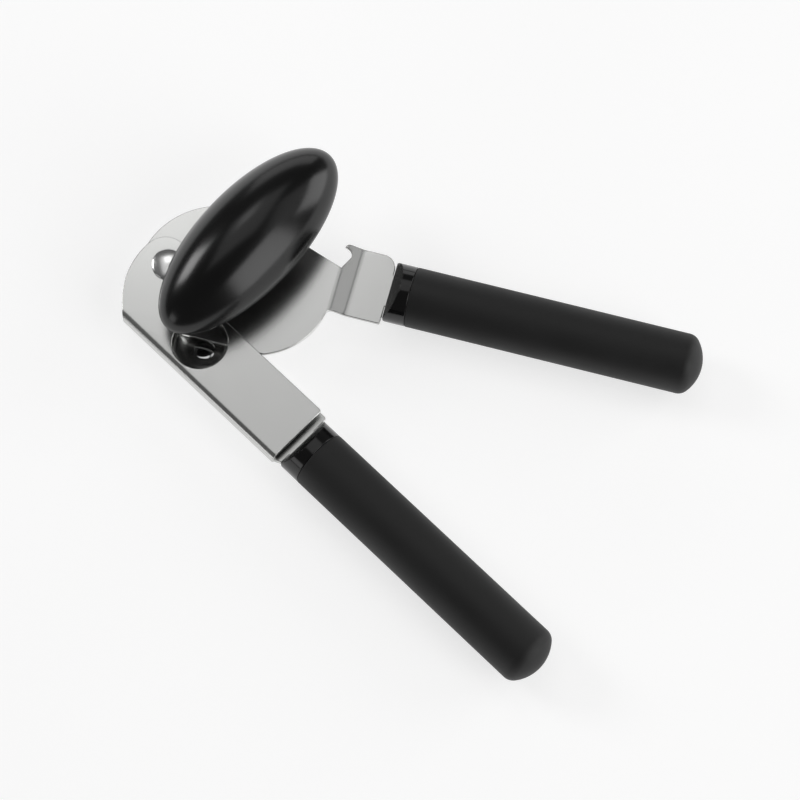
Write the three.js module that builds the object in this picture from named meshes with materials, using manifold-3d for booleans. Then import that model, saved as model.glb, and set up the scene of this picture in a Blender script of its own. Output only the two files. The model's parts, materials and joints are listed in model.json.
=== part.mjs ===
// Manual can opener of the butterfly kind: two sheet-metal arms turn on one rivet at the nose.
// The lower arm is a folded channel with the cutting wheel; the upper arm is one flat plate that swings
// inside the channel and carries the knob, its shaft and the toothed feed wheel.
//
// Millimetres. +X runs along the lower arm to its handle, +Z points to the knob's side.
// The pieces are drawn from the pivot rivet's axis in the middle plane of both handles ("lower frame"),
// or from the same frame turned by OPEN_ANGLE about Z ("upper frame"). At the end the whole opener is
// moved so that the origin is under the middle of its box, on the surface it lies on.

import * as THREE from "three";
import { mergeVertices } from "three/addons/utils/BufferGeometryUtils.js";
import Module from "manifold-3d";

const wasm = await Module();
wasm.setup();

// ---------------------------------------------------------------- driving dimensions
const OPEN_ANGLE = THREE.MathUtils.degToRad(29.3); // between the arms in the modelled, open pose

const SHEET = 1.5; // thickness of the stainless sheet
const CHANNEL_GAP = 2.5; // clear space between the channel's two legs
const HALF_SHEET = SHEET / 2;
const FRONT_Z0 = HALF_SHEET + CHANNEL_GAP; // underside of the front leg
const FRONT_Z1 = FRONT_Z0 + SHEET; // top of the front leg
const PLATE_Z = HALF_SHEET + CHANNEL_GAP / 2; // middle plane of the upper arm's plate
const PLATE_Z0 = PLATE_Z - HALF_SHEET;
const PLATE_Z1 = PLATE_Z + HALF_SHEET;

const LOWER_AXIS_Y = -12.65; // handle axis of the lower arm
const CHANNEL_Y0 = -24.75; // outer face of the fold
const CHANNEL_Y1 = -0.7; // open edge of the channel
const FRONT_END_X = 75.8;
const LOWER_SHEET_END_X = 77.9;
const NOSE = { x: 17.6, y: 0.3, r: 28.4 }; // large arc of the nose
const NOSE_CORNER = { x: -2.4, y: 0.6, r: 8.4 }; // small arc beside the pivot
const SHOULDER_X = 6; // the widened head ends here ...
const SHOULDER_END_X = 22; // ... and has come down to the open edge here
const SHOULDER_PULL = { x: 15, y: 3.3 }; // control point of the curve between them
const END_CHAMFER = 1.1; // cut corner of each leg's end

const WINDOW = { x: 28.4, y: -12.2, r: 9.6 }; // round window in the front leg, over the cutter's seat
const SEAT = { x: 29.6, y: -11.6 }; // middle of the pressed seat in the back leg
const SEAT_TILT = THREE.MathUtils.degToRad(10);
const SEAT_MOUTH_R = 8.4;
const SEAT_FLOOR_R = 5.8;
const SEAT_DEPTH = 2.2; // floor below the back leg's middle plane, along the tilted axis
const SEAT_WALL = 1.1; // the pressing thins the sheet here

const UPPER_AXIS_Y = 11.4; // handle axis of the upper arm
const UPPER_EDGE_Y = -1.2; // inner edge of the neck and the tab
const UPPER_SHEET_END_X = 75.9;
const PLATE_NOSE = { x: 17.4, y: -0.7, r: 28 };
const PLATE_HEEL = { x: 31.9, y: 1.4, r: 25.6 };
const PLATE_STRAIGHT_Y = -22.6; // straight edge that closes against the fold
const NECK_TOP = { x: 57.9, y: 14.9 }; // notch below the hook
const JOGGLE_X0 = 58;
const JOGGLE_X1 = 63.5;
const TAB_TOP_Y = 24.1;
const TAB_CORNER_R = 5;

const SHAFT = { x: 26.8, y: 11.4 }; // drive shaft, in the upper frame
const SHAFT_R = 3.5;
const REST_Z = -10.5; // the surface the opener lies on

const RIVET_R = 3.1; // shank of the pivot rivet
const CUTTER_AXLE_R = 2.5;

const TANG_WIDTH = 12;
const TANG_LENGTH = 40;
const TANG_HOLE_R = 2.6;
const TANG_HOLE_INSET = 8; // from the tang's end to the hole's axis

const HANDLE_R = 10.5;
const FERRULE_LENGTH = 7.8; // bare end of the handle core in front of the grip
const HANDLE_LENGTH = 110.2; // from the ferrule's face to the round end
const CORE_R = 8.6; // core inside the grip
const GRIP_BORE_R = 8.8;
const GRIP_END_WALL = 7;
const LIP = 0.3; // small chamfer on the grip's open edge
const END_CORNER_R = 4.5;
const END_CAP_R = 13.9; // the grip's end is a shallow ball cap that runs into its rounded corner
const FACET_SLOPE = 2.2; // rise over run of the slanted faces of the ferrule
const FIT = 0.1; // play between pieces that sit in or on one another
const SHOULDER_GAP = 0.3; // sheet shoulder to the ferrule's face

const KNOB_HALF_LENGTH = 41.7;
const KNOB_HALF_WIDTH = 18.1;
const KNOB_RIM_Z = 16;
const KNOB_HEIGHT = 16.5;
const KNOB_ANGLE = THREE.MathUtils.degToRad(64.9); // long axis, in the upper frame

const FEED_R = 12.4;
const FEED_TOOTH = 1.1;
const FEED_TEETH = 28;
const FEED_Z0 = -6.2;
const FEED_Z1 = -2.6;
const CUTTER_R = 11.4;

const ROUND = 28; // facets of a small round piece
const ROUND_HANDLE = 40;

// ---------------------------------------------------------------- solids and geometry
// A closed geometry as a solid, with its faces turned outwards.
function solid(geometry) {
  const g = geometry.clone();
  g.deleteAttribute("normal");
  g.deleteAttribute("uv");
  const merged = mergeVertices(g, 1e-4);
  const vertProperties = Float32Array.from(merged.attributes.position.array);
  const triVerts = Uint32Array.from(merged.index.array);
  const made = new wasm.Manifold(new wasm.Mesh({ numProp: 3, vertProperties, triVerts }));
  if (made.volume() >= 0) return made;
  for (let i = 0; i < triVerts.length; i += 3) {
    [triVerts[i], triVerts[i + 1]] = [triVerts[i + 1], triVerts[i]];
  }
  return new wasm.Manifold(new wasm.Mesh({ numProp: 3, vertProperties, triVerts }));
}

// A solid as a geometry for a mesh.
function geometryOf(made) {
  const mesh = made.getMesh();
  const position = new Float32Array(mesh.numVert * 3);
  for (let i = 0; i < mesh.numVert; i++) {
    for (let k = 0; k < 3; k++) position[3 * i + k] = mesh.vertProperties[mesh.numProp * i + k];
  }
  const g = new THREE.BufferGeometry();
  g.setAttribute("position", new THREE.BufferAttribute(position, 3));
  g.setIndex(new THREE.BufferAttribute(mesh.triVerts, 1));
  const flat = g.toNonIndexed();
  flat.computeVertexNormals();
  return flat;
}

// An outline in XY, raised from z0 to z1.
function prism(shape, z0, z1, curveSegments = 24) {
  const g = new THREE.ExtrudeGeometry(shape, { depth: z1 - z0, bevelEnabled: false, curveSegments });
  return solid(g.translate(0, 0, z0));
}

// A closed [radius, z] profile turned about the Z axis.
function turned(profile, segments = ROUND) {
  const points = profile.map(([r, z]) => new THREE.Vector2(r, z));
  return solid(new THREE.LatheGeometry(points, segments).rotateX(Math.PI / 2));
}

function disc(r, z0, z1, segments = ROUND) {
  return turned([[0, z0], [r, z0], [r, z1], [0, z1]], segments);
}

function ring(inner, outer, z0, z1, segments = ROUND) {
  return turned([[inner, z0], [outer, z0], [outer, z1], [inner, z1], [inner, z0]], segments);
}

function box(x0, x1, y0, y1, z0, z1) {
  const g = new THREE.BoxGeometry(x1 - x0, y1 - y0, z1 - z0);
  return solid(g.translate((x0 + x1) / 2, (y0 + y1) / 2, (z0 + z1) / 2));
}

// A solid moved by a matrix.
function placed(made, matrix) {
  return solid(geometryOf(made).applyMatrix4(matrix));
}

function movedTo(made, x, y, z = 0) {
  return placed(made, new THREE.Matrix4().makeTranslation(x, y, z));
}

// ---------------------------------------------------------------- materials and scene graph
const FINISHES = {
  sheet: { color: 0xc9cacb, roughness: 0.28, metalness: 1 },
  polished: { color: 0xd8d9da, roughness: 0.12, metalness: 1 },
  hardened: { color: 0xb4b6b8, roughness: 0.3, metalness: 1 },
  nylon: { color: 0xe6e4dc, roughness: 0.5, metalness: 0 },
  gloss: { color: 0x0b0b0c, roughness: 0.15, metalness: 0 },
  satin: { color: 0x101011, roughness: 0.35, metalness: 0 },
  soft: { color: 0x161617, roughness: 0.75, metalness: 0 },
};

function add(group, name, made, finish) {
  const mesh = new THREE.Mesh(geometryOf(made), new THREE.MeshStandardMaterial(FINISHES[finish]));
  mesh.name = name;
  group.add(mesh);
  return mesh;
}

const opener = new THREE.Group();
const upperArm = new THREE.Group();
upperArm.rotation.z = OPEN_ANGLE;
const drive = new THREE.Group();
drive.position.set(SHAFT.x, SHAFT.y, 0);
const cutter = new THREE.Group();
cutter.position.set(SEAT.x, SEAT.y, 0);
cutter.rotation.x = -SEAT_TILT;
opener.add(upperArm, cutter);
upperArm.add(drive);

// ---------------------------------------------------------------- lower arm: the folded channel
// Where the nose arc crosses a line parallel to X, on the nose's side.
function noseX(y) {
  return NOSE.x - Math.sqrt(NOSE.r ** 2 - (y - NOSE.y) ** 2);
}

// Outline of one leg: nose arc, small corner arc, shoulder, open edge, straight end.
function legOutline(endX, foldY) {
  const toCorner = Math.atan2(NOSE_CORNER.y - NOSE.y, NOSE_CORNER.x - NOSE.x);
  const fromFold = Math.atan2(foldY - NOSE.y, noseX(foldY) - NOSE.x);
  const outline = new THREE.Shape();
  outline.moveTo(noseX(foldY), foldY);
  outline.absarc(NOSE.x, NOSE.y, NOSE.r, fromFold, toCorner, true);
  outline.absarc(NOSE_CORNER.x, NOSE_CORNER.y, NOSE_CORNER.r, toCorner, Math.PI / 2, true);
  outline.lineTo(SHOULDER_X, NOSE_CORNER.y + NOSE_CORNER.r);
  outline.quadraticCurveTo(SHOULDER_PULL.x, SHOULDER_PULL.y, SHOULDER_END_X, CHANNEL_Y1);
  outline.lineTo(endX - END_CHAMFER, CHANNEL_Y1);
  outline.lineTo(endX, CHANNEL_Y1 - END_CHAMFER);
  outline.lineTo(endX, foldY);
  outline.closePath();
  return outline;
}

// Half ring of sheet that joins the legs along the fold, from the nose to endX.
function foldedEdge(endX) {
  const outer = SHEET + CHANNEL_GAP / 2;
  const inner = CHANNEL_GAP / 2;
  const section = new THREE.Shape();
  section.absarc(0, 0, outer, Math.PI / 2, (3 * Math.PI) / 2, false);
  section.absarc(0, 0, inner, (3 * Math.PI) / 2, Math.PI / 2, true);
  section.closePath();
  const start = NOSE.x - NOSE.r;
  // The section's own x and y become Y and Z, and its depth runs along X.
  const turn = new THREE.Matrix4().makeBasis(
    new THREE.Vector3(0, 1, 0),
    new THREE.Vector3(0, 0, 1),
    new THREE.Vector3(1, 0, 0),
  );
  const bar = placed(prism(section, start, endX, 9), turn);
  const trimmed = new THREE.Shape();
  trimmed.moveTo(NOSE.x, NOSE.y);
  trimmed.absarc(NOSE.x, NOSE.y, NOSE.r, Math.PI, (3 * Math.PI) / 2, false);
  trimmed.lineTo(endX, NOSE.y - NOSE.r);
  trimmed.lineTo(endX, NOSE.y);
  trimmed.closePath();
  const inPlace = movedTo(bar, 0, CHANNEL_Y0 + outer, PLATE_Z);
  return inPlace.intersect(prism(trimmed, -HALF_SHEET - 1, FRONT_Z1 + 1, 24));
}

const tilted = new THREE.Matrix4()
  .makeTranslation(SEAT.x, SEAT.y, 0)
  .multiply(new THREE.Matrix4().makeRotationX(-SEAT_TILT));

// The pressed seat: a tilted dish in the back leg, one sheet thick, bored for the cutter's axle.
function pressedSeat(leg) {
  const above = 4; // clear of the leg's top face
  const outside = turned([
    [0, -SEAT_DEPTH - SHEET],
    [SEAT_FLOOR_R + SEAT_WALL, -SEAT_DEPTH - SHEET],
    [SEAT_MOUTH_R + SEAT_WALL, 0],
    [SEAT_MOUTH_R + SEAT_WALL, above],
    [0, above],
  ]);
  const inside = turned([
    [0, -SEAT_DEPTH],
    [SEAT_FLOOR_R, -SEAT_DEPTH],
    [SEAT_MOUTH_R, 0],
    [SEAT_MOUTH_R, above + 1],
    [0, above + 1],
  ]);
  const bore = disc(CUTTER_AXLE_R + FIT, -12, above + 1);
  const reach = 30;
  const below = box(SEAT.x - reach, SEAT.x + reach, SEAT.y - reach, SEAT.y + reach, -reach, HALF_SHEET);
  return leg
    .add(placed(outside, tilted).intersect(below))
    .subtract(placed(inside, tilted))
    .subtract(placed(bore, tilted));
}

// The sheet's tang inside a handle: a strip with one locking hole.
function tang(startX, axisY) {
  const rootX = startX - 2; // runs into the sheet
  const endX = startX + TANG_LENGTH;
  const half = TANG_WIDTH / 2;
  const strip = box(rootX, endX, axisY - half, axisY + half, -HALF_SHEET, HALF_SHEET);
  return strip.subtract(movedTo(disc(TANG_HOLE_R, -SHEET, SHEET, 24), endX - TANG_HOLE_INSET, axisY));
}

function channel() {
  const foldY = CHANNEL_Y0 + SHEET + CHANNEL_GAP / 2;
  const front = prism(legOutline(FRONT_END_X, foldY), FRONT_Z0, FRONT_Z1, 16).subtract(
    movedTo(disc(WINDOW.r, 0, 8, 40), WINDOW.x, WINDOW.y),
  );
  const back = prism(legOutline(LOWER_SHEET_END_X, foldY), -HALF_SHEET, HALF_SHEET, 16);
  const marginX = FRONT_END_X - 1;
  const marginY = CHANNEL_Y0 + 0.4;
  const margin = box(marginX, LOWER_SHEET_END_X, marginY, foldY, -HALF_SHEET, HALF_SHEET);
  return pressedSeat(back)
    .add(front)
    .add(foldedEdge(FRONT_END_X))
    .add(margin)
    .add(tang(LOWER_SHEET_END_X, LOWER_AXIS_Y))
    .subtract(disc(RIVET_R + FIT, -5, 10));
}

add(opener, "lower_arm_channel", channel(), "sheet");

// ---------------------------------------------------------------- pivot rivet and its washers
const RIVET_HEAD_R = 5.6;
const RIVET_HEAD_HEIGHT = 1.7;
const RIVET_TAIL_HEIGHT = 1.1;

// [radius, height] points of a low dome, from its rim to its crown.
function domeProfile(r, height, z, steps = 5) {
  const points = [];
  for (let i = 0; i <= steps; i++) {
    const a = (i / steps) * (Math.PI / 2);
    points.push([i === steps ? 0 : r * Math.cos(a), z + height * Math.sin(a)]);
  }
  return points;
}

function pivotRivet() {
  const headZ = FRONT_Z1 + FIT / 2;
  const tailZ = -HALF_SHEET - FIT / 2;
  return turned([
    [0, tailZ - RIVET_TAIL_HEIGHT],
    [RIVET_HEAD_R - 1.4, tailZ - RIVET_TAIL_HEIGHT],
    [RIVET_HEAD_R - 0.6, tailZ - RIVET_TAIL_HEIGHT + 0.5],
    [RIVET_HEAD_R - 0.6, tailZ],
    [RIVET_R, tailZ],
    [RIVET_R, headZ],
    [RIVET_HEAD_R, headZ],
    ...domeProfile(RIVET_HEAD_R, RIVET_HEAD_HEIGHT, headZ + 0.2),
  ]);
}

const PIVOT_WASHER_R = 7.4;
const WASHER_GAP = FIT / 2;

function pivotWasher(z0, z1) {
  return ring(RIVET_R + FIT, PIVOT_WASHER_R, z0 + WASHER_GAP, z1 - WASHER_GAP);
}

add(opener, "pivot_rivet", pivotRivet(), "polished");
add(opener, "pivot_washer_back", pivotWasher(HALF_SHEET, PLATE_Z0), "nylon");
add(opener, "pivot_washer_front", pivotWasher(PLATE_Z1, FRONT_Z0), "nylon");

// ---------------------------------------------------------------- cutting wheel, on its tilted axle
const SEAT_UNDERSIDE = -SEAT_DEPTH - SHEET;
const CUTTER_WASHER = 0.6;
const CUTTER_HUB_R = 6.2;
const CUTTER_HUB_Z1 = SEAT_UNDERSIDE - CUTTER_WASHER - 3 * FIT;
const CUTTER_HUB_Z0 = CUTTER_HUB_Z1 - 2.6;
const CUTTER_BUSH_WALL = 0.9;
const CUTTER_BORE_R = CUTTER_AXLE_R + CUTTER_BUSH_WALL + 2 * FIT;

// Cutting wheel: a thick hub and a dished blade ground to an edge.
function cuttingWheel() {
  const edgeZ = CUTTER_HUB_Z1 - 1.1;
  return turned(
    [
      [CUTTER_BORE_R, CUTTER_HUB_Z0],
      [CUTTER_HUB_R - 0.4, CUTTER_HUB_Z0],
      [CUTTER_HUB_R, CUTTER_HUB_Z0 + 0.4],
      [CUTTER_HUB_R, edgeZ - 0.7],
      [CUTTER_R - 2.6, edgeZ - 0.7],
      [CUTTER_R, edgeZ - 0.1],
      [CUTTER_R, edgeZ + 0.1],
      [CUTTER_R - 1.6, edgeZ + 0.7],
      [CUTTER_HUB_R, CUTTER_HUB_Z1],
      [CUTTER_BORE_R, CUTTER_HUB_Z1],
      [CUTTER_BORE_R, CUTTER_HUB_Z0],
    ],
    40,
  );
}

// The bush the wheel turns on, with the flange that keeps the wheel up.
function cutterBush() {
  const flange = 0.7;
  const inner = CUTTER_AXLE_R + FIT;
  const outer = CUTTER_AXLE_R + CUTTER_BUSH_WALL + FIT;
  const z0 = CUTTER_HUB_Z0 - 2 * FIT;
  return turned([
    [inner, z0 - flange],
    [CUTTER_HUB_R - 0.6, z0 - flange],
    [CUTTER_HUB_R - 0.6, z0],
    [outer, z0],
    [outer, SEAT_UNDERSIDE - CUTTER_WASHER - 2 * FIT],
    [inner, SEAT_UNDERSIDE - CUTTER_WASHER - 2 * FIT],
    [inner, z0 - flange],
  ]);
}

function cutterAxle() {
  const tailZ = CUTTER_HUB_Z0 - 0.9 - 2 * FIT;
  const tailHeight = 1.3;
  const headZ = -SEAT_DEPTH + FIT;
  return turned([
    [0, tailZ - tailHeight],
    [CUTTER_AXLE_R + 0.9, tailZ - tailHeight],
    [CUTTER_AXLE_R + 1.6, tailZ - 0.5],
    [CUTTER_AXLE_R + 1.6, tailZ],
    [CUTTER_AXLE_R, tailZ],
    [CUTTER_AXLE_R, headZ],
    [CUTTER_AXLE_R + 1.7, headZ],
    ...domeProfile(CUTTER_AXLE_R + 1.7, 0.9, headZ + 0.2, 3),
  ]);
}

function cutterWasher() {
  const top = SEAT_UNDERSIDE - FIT;
  return ring(CUTTER_AXLE_R + FIT, SEAT_FLOOR_R, top - CUTTER_WASHER, top);
}

add(cutter, "cutter_axle", cutterAxle(), "polished");
add(cutter, "cutter_washer", cutterWasher(), "hardened");
add(cutter, "cutter_bush", cutterBush(), "hardened");
add(cutter, "cutting_wheel", cuttingWheel(), "hardened");

// ---------------------------------------------------------------- upper arm: the flat plate
// Outline of the plate, the neck, the bottle-opener hook and the tab.
function plateOutline() {
  const dropNose = PLATE_STRAIGHT_Y - PLATE_NOSE.y;
  const dropHeel = PLATE_STRAIGHT_Y - PLATE_HEEL.y;
  const noseStart = Math.PI - Math.asin(dropNose / PLATE_NOSE.r);
  const noseEnd = THREE.MathUtils.degToRad(70);
  const heelStart = Math.asin(dropHeel / PLATE_HEEL.r);
  const fillet = 2.2;
  const heelEnd = Math.asin((UPPER_EDGE_Y - fillet - PLATE_HEEL.y) / PLATE_HEEL.r);
  const heelX = PLATE_HEEL.x + PLATE_HEEL.r * Math.cos(heelEnd);
  const outline = new THREE.Shape();
  outline.moveTo(PLATE_HEEL.x + PLATE_HEEL.r * Math.cos(heelStart), PLATE_STRAIGHT_Y);
  outline.absarc(PLATE_HEEL.x, PLATE_HEEL.y, PLATE_HEEL.r, heelStart, heelEnd, false);
  outline.quadraticCurveTo(heelX + 0.4, UPPER_EDGE_Y, heelX + fillet, UPPER_EDGE_Y);
  outline.lineTo(UPPER_SHEET_END_X, UPPER_EDGE_Y);
  outline.lineTo(UPPER_SHEET_END_X, TAB_TOP_Y - TAB_CORNER_R);
  const cornerX = UPPER_SHEET_END_X - TAB_CORNER_R;
  outline.absarc(cornerX, TAB_TOP_Y - TAB_CORNER_R, TAB_CORNER_R, 0, Math.PI / 2, false);
  outline.lineTo(NECK_TOP.x + 1.6, TAB_TOP_Y);
  outline.quadraticCurveTo(NECK_TOP.x - 0.4, TAB_TOP_Y, NECK_TOP.x - 0.6, TAB_TOP_Y - 1.6);
  outline.quadraticCurveTo(NECK_TOP.x + 2.6, TAB_TOP_Y - 2.2, NECK_TOP.x + 2.2, TAB_TOP_Y - 4.6);
  outline.lineTo(NECK_TOP.x, NECK_TOP.y);
  const noseTopX = PLATE_NOSE.x + PLATE_NOSE.r * Math.cos(noseEnd);
  const noseTopY = PLATE_NOSE.y + PLATE_NOSE.r * Math.sin(noseEnd);
  outline.lineTo(noseTopX, noseTopY);
  outline.absarc(PLATE_NOSE.x, PLATE_NOSE.y, PLATE_NOSE.r, noseEnd, noseStart, false);
  outline.closePath();
  return outline;
}

// The sheet seen from the side: flat, a slanted step down to the handle's middle plane, flat.
function joggledBand() {
  const x0 = PLATE_NOSE.x - PLATE_NOSE.r - 1;
  const x1 = UPPER_SHEET_END_X + TANG_LENGTH + 1;
  const side = new THREE.Shape();
  side.moveTo(x0, PLATE_Z0);
  side.lineTo(JOGGLE_X0, PLATE_Z0);
  side.lineTo(JOGGLE_X1, -HALF_SHEET);
  side.lineTo(x1, -HALF_SHEET);
  side.lineTo(x1, HALF_SHEET);
  side.lineTo(JOGGLE_X1, HALF_SHEET);
  side.lineTo(JOGGLE_X0, PLATE_Z1);
  side.lineTo(x0, PLATE_Z1);
  side.closePath();
  // The side view's own x and y become X and Z.
  const upright = new THREE.Matrix4().makeRotationX(Math.PI / 2);
  return placed(prism(side, -45, 45), upright);
}

const BUSH_R = 5.2;

function upperPlate() {
  const flat = prism(plateOutline(), -3, 6, 18).intersect(joggledBand());
  return flat
    .add(tang(UPPER_SHEET_END_X, UPPER_AXIS_Y))
    .subtract(disc(RIVET_R + 2 * FIT, -5, 10))
    .subtract(movedTo(disc(BUSH_R + FIT, -5, 10), SHAFT.x, SHAFT.y));
}

add(upperArm, "upper_arm_plate", upperPlate(), "sheet");

// ---------------------------------------------------------------- handles
// The glossy core: a ferrule with two slanted faces, a thinner body, and a slot for the tang.
function handleCore() {
  const bodyEnd = HANDLE_LENGTH - GRIP_END_WALL - 1;
  const faceZ = HALF_SHEET + SHOULDER_GAP + 0.2; // half height of the flat strip left on the face
  const round = turned(
    [
      [0, 0],
      [HANDLE_R - 0.4, 0],
      [HANDLE_R, 0.5],
      [HANDLE_R, FERRULE_LENGTH],
      [CORE_R, FERRULE_LENGTH],
      [CORE_R, bodyEnd],
      [0, bodyEnd],
    ],
    ROUND_HANDLE,
  );
  const run = HANDLE_R / FACET_SLOPE + 1;
  const facet = new THREE.Shape();
  facet.moveTo(0, faceZ);
  facet.lineTo(run, faceZ + run * FACET_SLOPE);
  facet.lineTo(-1, faceZ + run * FACET_SLOPE);
  facet.lineTo(-1, faceZ);
  facet.closePath();
  const alongX = new THREE.Matrix4().makeRotationY(Math.PI / 2);
  const wedge = placed(prism(facet, -20, 20), new THREE.Matrix4().makeRotationX(Math.PI / 2));
  const mirror = new THREE.Matrix4().makeScale(1, 1, -1);
  const slotY = TANG_WIDTH / 2 + SHOULDER_GAP;
  const slotZ = HALF_SHEET + SHOULDER_GAP;
  const slot = box(-1, TANG_LENGTH + 1, -slotY, slotY, -slotZ, slotZ);
  return placed(round, alongX).subtract(wedge).subtract(placed(wedge, mirror)).subtract(slot);
}

// The soft grip: a sleeve with a closed, gently crowned end.
function handleGrip() {
  const start = FERRULE_LENGTH + FIT;
  const cornerY = HANDLE_R - END_CORNER_R;
  const capX = HANDLE_LENGTH - END_CAP_R;
  const cornerX = capX + Math.sqrt((END_CAP_R - END_CORNER_R) ** 2 - cornerY ** 2);
  const capAngle = Math.atan2(cornerX - capX, cornerY); // where the corner runs into the cap
  const profile = [[GRIP_BORE_R, start], [HANDLE_R - LIP, start], [HANDLE_R, start + LIP]];
  const cornerSteps = 5;
  for (let i = 0; i <= cornerSteps; i++) {
    const a = (i / cornerSteps) * capAngle;
    profile.push([cornerY + END_CORNER_R * Math.cos(a), cornerX + END_CORNER_R * Math.sin(a)]);
  }
  const capSteps = 4;
  for (let i = 1; i <= capSteps; i++) {
    const a = capAngle + (i / capSteps) * (Math.PI / 2 - capAngle);
    profile.push([i === capSteps ? 0 : END_CAP_R * Math.cos(a), capX + END_CAP_R * Math.sin(a)]);
  }
  profile.push([0, HANDLE_LENGTH - GRIP_END_WALL]);
  profile.push([GRIP_BORE_R, HANDLE_LENGTH - GRIP_END_WALL]);
  profile.push([GRIP_BORE_R, start]);
  return placed(turned(profile, ROUND_HANDLE), new THREE.Matrix4().makeRotationY(Math.PI / 2));
}

function addHandle(group, prefix, sheetEndX, axisY) {
  const core = add(group, prefix + "_handle_core", handleCore(), "gloss");
  const grip = add(group, prefix + "_handle_grip", handleGrip(), "soft");
  for (const piece of [core, grip]) piece.position.set(sheetEndX + SHOULDER_GAP, axisY, 0);
}

addHandle(opener, "lower", LOWER_SHEET_END_X, LOWER_AXIS_Y);
addHandle(upperArm, "upper", UPPER_SHEET_END_X, UPPER_AXIS_Y);

// ---------------------------------------------------------------- drive: bush, shaft, feed wheel, knob
// The flanged bush, staked into the plate. It stays with the upper arm.
function shaftBush() {
  const flangeR = 8.2;
  const inner = SHAFT_R + FIT;
  return turned([
    [inner, PLATE_Z0 - FIT - 1.2],
    [flangeR, PLATE_Z0 - FIT - 1.2],
    [flangeR, PLATE_Z0 - FIT],
    [BUSH_R, PLATE_Z0 - FIT],
    [BUSH_R, PLATE_Z1 + FIT],
    [BUSH_R + 1.5, PLATE_Z1 + FIT],
    [BUSH_R + 1.5, PLATE_Z1 + 0.8],
    [BUSH_R + 0.7, PLATE_Z1 + 1.5],
    [inner, PLATE_Z1 + 1.5],
    [inner, PLATE_Z0 - FIT - 1.2],
  ]);
}

const BUSH_FOOT_Z = PLATE_Z0 - FIT - 1.2;
const BUSH_TOP_Z = PLATE_Z1 + 1.5;
const SPACER_R = 6.4;
const HUB_Z0 = BUSH_TOP_Z + 1.6; // underside of the knob's hub
const HUB_R = 7.6;
const KNOB_FLOOR = 2; // thickness of the knob's base cover
const KNOB_WALL = 2.4;
const SQUARE = 4.8; // the shaft's square end, across its flats
const SHAFT_TOP_Z = KNOB_RIM_Z + 7;
const HUB_Z1 = SHAFT_TOP_Z - 1.5;

// Feed wheel: a toothed disc with pointed teeth.
function feedWheel() {
  const outline = new THREE.Shape();
  for (let i = 0; i < FEED_TEETH; i++) {
    const pitch = (2 * Math.PI) / FEED_TEETH;
    const root = (i - 0.5) * pitch;
    const tip = i * pitch;
    const rootR = FEED_R - FEED_TOOTH;
    if (i === 0) outline.moveTo(rootR * Math.cos(root), rootR * Math.sin(root));
    else outline.lineTo(rootR * Math.cos(root), rootR * Math.sin(root));
    outline.lineTo(FEED_R * Math.cos(tip), FEED_R * Math.sin(tip));
  }
  outline.closePath();
  return prism(outline, FEED_Z0, FEED_Z1).subtract(disc(SHAFT_R + FIT, -12, 5));
}

// The shaft: round in the bush, square in the knob's hub, peened over the foot washer.
function driveShaft() {
  const footTop = FEED_Z0 - 1.2;
  const round = turned([
    [0, REST_Z],
    [4.2, REST_Z],
    [5.6, REST_Z + 0.8],
    [5.6, footTop],
    [SHAFT_R, footTop],
    [SHAFT_R, HUB_Z0 + 1],
    [0, HUB_Z0 + 1],
  ]);
  const half = SQUARE / 2;
  return round.add(box(-half, half, -half, half, HUB_Z0, SHAFT_TOP_Z));
}

add(upperArm, "shaft_bush", shaftBush(), "hardened").position.set(SHAFT.x, SHAFT.y, 0);
add(drive, "feed_wheel", feedWheel(), "hardened");
add(drive, "feed_wheel_spacer", ring(SHAFT_R + FIT, SPACER_R, FEED_Z1 + FIT, BUSH_FOOT_Z - FIT), "hardened");
add(drive, "shaft_foot_washer", ring(SHAFT_R + FIT, 7.2, FEED_Z0 - 1.1, FEED_Z0 - FIT), "polished");
add(drive, "shaft_top_washer", ring(SHAFT_R + FIT, 7, BUSH_TOP_Z + FIT, HUB_Z0 - FIT), "nylon");

// One level of the knob: an ellipse as points of the outline.
function ellipse(halfLength, halfWidth, z, count) {
  const points = [];
  for (let i = 0; i < count; i++) {
    const a = (i / count) * 2 * Math.PI;
    points.push(halfLength * Math.cos(a), halfWidth * Math.sin(a), z);
  }
  return points;
}

// A closed body through a stack of ellipses, each [share of the plan size, z]; both ends are flat.
function ellipseStack(halfLength, halfWidth, levels, count = 44) {
  const position = [];
  for (const [share, z] of levels) position.push(...ellipse(halfLength * share, halfWidth * share, z, count));
  const bottom = position.length / 3;
  position.push(0, 0, levels[0][1]);
  position.push(0, 0, levels[levels.length - 1][1]);
  const index = [];
  for (let i = 0; i < count; i++) {
    const next = (i + 1) % count;
    for (let k = 0; k + 1 < levels.length; k++) {
      const low = k * count;
      const high = low + count;
      index.push(low + i, low + next, high + next, low + i, high + next, high + i);
    }
    const last = (levels.length - 1) * count;
    index.push(bottom, next, i);
    index.push(bottom + 1, last + i, last + next);
  }
  const g = new THREE.BufferGeometry();
  g.setAttribute("position", new THREE.Float32BufferAttribute(position, 3));
  g.setIndex(index);
  return solid(g);
}

// Levels of the knob's dome, fuller than a cone and leaner than an ellipsoid.
function domeLevels(height, z, steps) {
  const levels = [];
  const fullness = 1.85;
  for (let i = 0; i < steps; i++) {
    const a = (i / steps) * (Math.PI / 2);
    levels.push([Math.cos(a) ** (2 / fullness), z + height * Math.sin(a) ** (2 / fullness)]);
  }
  levels.push([0.06, z + height]);
  return levels;
}

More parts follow.
